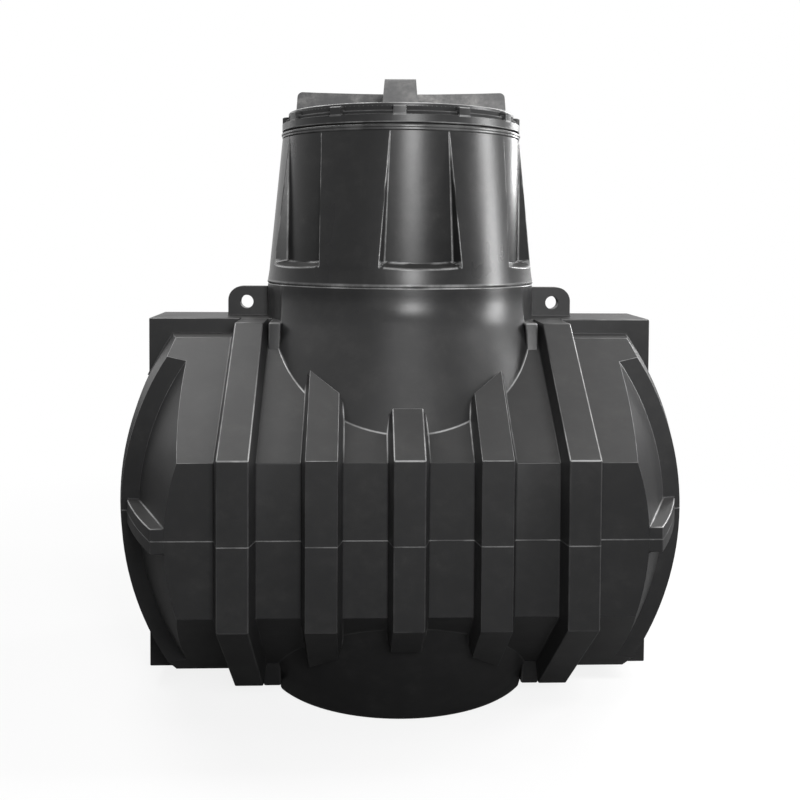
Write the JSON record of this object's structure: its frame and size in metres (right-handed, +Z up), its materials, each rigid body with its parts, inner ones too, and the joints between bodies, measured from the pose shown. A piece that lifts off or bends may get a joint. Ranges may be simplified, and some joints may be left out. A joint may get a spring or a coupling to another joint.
{
  "type": "underground holding tank",
  "caption": "Ribbed hollow plastic holding tank for burial, with a sump foot, a pocketed extension neck, lifting lugs and a lift-off lid with a cross handle.",
  "frame": {"origin": "centre of the sump's flat foot, on the floor", "axes": "+Z up through the neck, X along the tank's length (its box rib), -Y the side seen in the picture"},
  "size_m": [1.48, 1.258, 1.586],
  "materials": {
    "tank_plastic": "black moulded polyethylene with a satin skin",
    "neck_plastic": "black moulded polyethylene with a satin skin",
    "lid_plastic": "black injection-moulded plastic, slightly glossier than the tank",
    "seal_rubber": "black rubber lid seal"
  },
  "bodies": {
    "tank": {"box_rib_bottom_left": "tank_plastic", "box_rib_bottom_right": "tank_plastic", "box_rib_top_left": "tank_plastic", "box_rib_top_right": "tank_plastic", "end_lower_left": "tank_plastic", "end_lower_right": "tank_plastic", "end_upper_left": "tank_plastic", "end_upper_right": "tank_plastic", "equator_lug_back_left": "tank_plastic", "equator_lug_back_right": "tank_plastic", "equator_lug_front_left": "tank_plastic", "equator_lug_front_right": "tank_plastic", "hoop_rib_back_1": "tank_plastic", "hoop_rib_back_2": "tank_plastic", "hoop_rib_back_3": "tank_plastic", "hoop_rib_back_4": "tank_plastic", "hoop_rib_back_5": "tank_plastic", "hoop_rib_front_1": "tank_plastic", "hoop_rib_front_2": "tank_plastic", "hoop_rib_front_3": "tank_plastic", "hoop_rib_front_4": "tank_plastic", "hoop_rib_front_5": "tank_plastic", "lid_seal": "seal_rubber", "lifting_lug_left": "tank_plastic", "lifting_lug_right": "tank_plastic", "neck_bell": "tank_plastic", "neck_foot": "neck_plastic", "neck_lip": "neck_plastic", "neck_wall": "neck_plastic", "skin_back_1": "tank_plastic", "skin_back_2": "tank_plastic", "skin_back_3": "tank_plastic", "skin_back_4": "tank_plastic", "skin_front_1": "tank_plastic", "skin_front_2": "tank_plastic", "skin_front_3": "tank_plastic", "skin_front_4": "tank_plastic", "sump_floor": "tank_plastic", "sump_wall": "tank_plastic"},
    "lid": {"lid_cross": "lid_plastic", "lid_plate": "lid_plastic", "lid_rim": "lid_plastic", "lid_spigot": "lid_plastic"}
  },
  "joints": [
    {"name": "lid_lift", "type": "slide", "parent": "tank", "child": "lid", "axis": [0, 0, 1], "range_m": [0, 0.12]}
  ]
}
